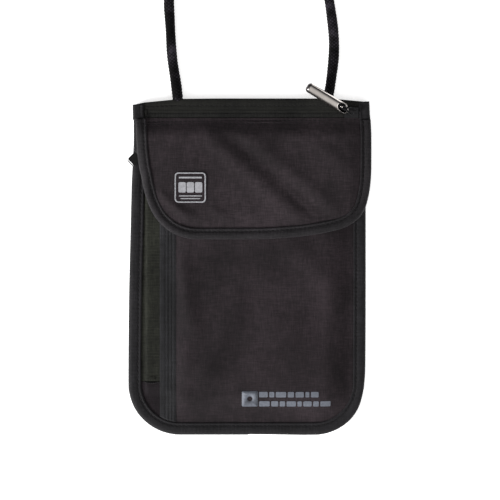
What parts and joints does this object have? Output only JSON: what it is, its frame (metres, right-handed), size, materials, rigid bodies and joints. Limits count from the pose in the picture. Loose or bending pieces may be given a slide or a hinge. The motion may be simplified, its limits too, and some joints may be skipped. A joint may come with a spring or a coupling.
{
  "type": "neck pouch wallet",
  "caption": "Flat bound fabric pouch with a flap over its compartment, a zip across the header, an upright zip at the front, a metal tube pull and a braided neck cord.",
  "frame": {"origin": "on the back panel's outer face, midway across the pouch and near its middle", "axes": "+X to the right seen from the front, +Y up the pouch towards its cord, +Z out of its front; the pouch lies on its back"},
  "size_m": [0.1465, 0.3466, 0.0133],
  "materials": {
    "fabric": "woven polyester",
    "binding": "ribbed grosgrain tape",
    "zip_tape": "fine ribbed tape",
    "black_nylon": "matt",
    "cord": "braided",
    "black_rubber": "matt",
    "print": "printed",
    "badge": "moulded",
    "black_metal": "satin",
    "steel": "polished"
  },
  "bodies": {
    "pouch": {"back_panel": "fabric", "divider_panel": "fabric", "pocket_back_wall": "fabric", "pocket_front_panel": "fabric", "placket_edge": "binding", "zip_end_panel": "fabric", "front_zip_tape_left": "zip_tape", "front_zip_tape_right": "zip_tape", "front_zip_coil_left": "black_nylon", "front_zip_coil_right": "black_nylon", "front_zip_bottom_stop": "black_nylon", "front_zip_top_stop": "black_nylon", "body_binding": "binding", "header_binding_left": "binding", "header_binding_right": "binding", "header_tape_lower": "zip_tape", "header_tape_upper": "zip_tape", "header_coil_lower": "black_nylon", "header_coil_upper": "black_nylon", "header_stop_left": "black_nylon", "top_edge_seam": "fabric", "cord_end_left": "cord", "cord_end_right": "cord", "hook_strip": "black_nylon", "front_print_patch": "print", "cord_left": "cord", "cord_right": "cord", "cord_coil": "cord", "cord_tie": "black_rubber"},
    "flap": {"flap_outer": "fabric", "flap_lining": "fabric", "flap_binding": "binding", "loop_strip": "black_nylon", "flap_badge": "badge"},
    "header_slider": {"top_slider": "black_metal"},
    "header_link": {"top_pull_link": "steel"},
    "header_pull": {"top_pull_tube": "steel", "top_pull_pin": "steel"},
    "front_slider_body": {"front_slider": "black_metal"},
    "front_pull_tab": {"front_pull": "black_rubber", "front_pull_ferrule": "steel"}
  },
  "joints": [
    {"name": "flap_hinge", "type": "hinge", "parent": "pouch", "child": "flap", "pos_m": [0, 0.0881, 0.0071], "axis": [1, 0, 0], "range_deg": [-100, 0]},
    {"name": "header_zip", "type": "slide", "parent": "pouch", "child": "header_slider", "axis": [1, 0, 0], "range_m": [-0.118, 0]},
    {"name": "header_pull_flip", "type": "hinge", "parent": "header_slider", "child": "header_link", "pos_m": [0.0636, 0.092, 0.00885], "axis": [0.4111, 0.9116, 0], "range_deg": [0, 140]},
    {"name": "header_pull_swing", "type": "hinge", "parent": "header_link", "child": "header_pull", "pos_m": [0.05302, 0.09677, 0.0102], "axis": [0, 0, 1], "range_deg": [0, 10]},
    {"name": "front_zip", "type": "slide", "parent": "pouch", "child": "front_slider_body", "axis": [0, 1, 0], "range_m": [-0.134, 0]},
    {"name": "front_pull_turn", "type": "hinge", "parent": "front_slider_body", "child": "front_pull_tab", "pos_m": [-0.0573, 0.0745, 0.0067], "axis": [0, 0, 1], "range_deg": [-25, 4]}
  ]
}
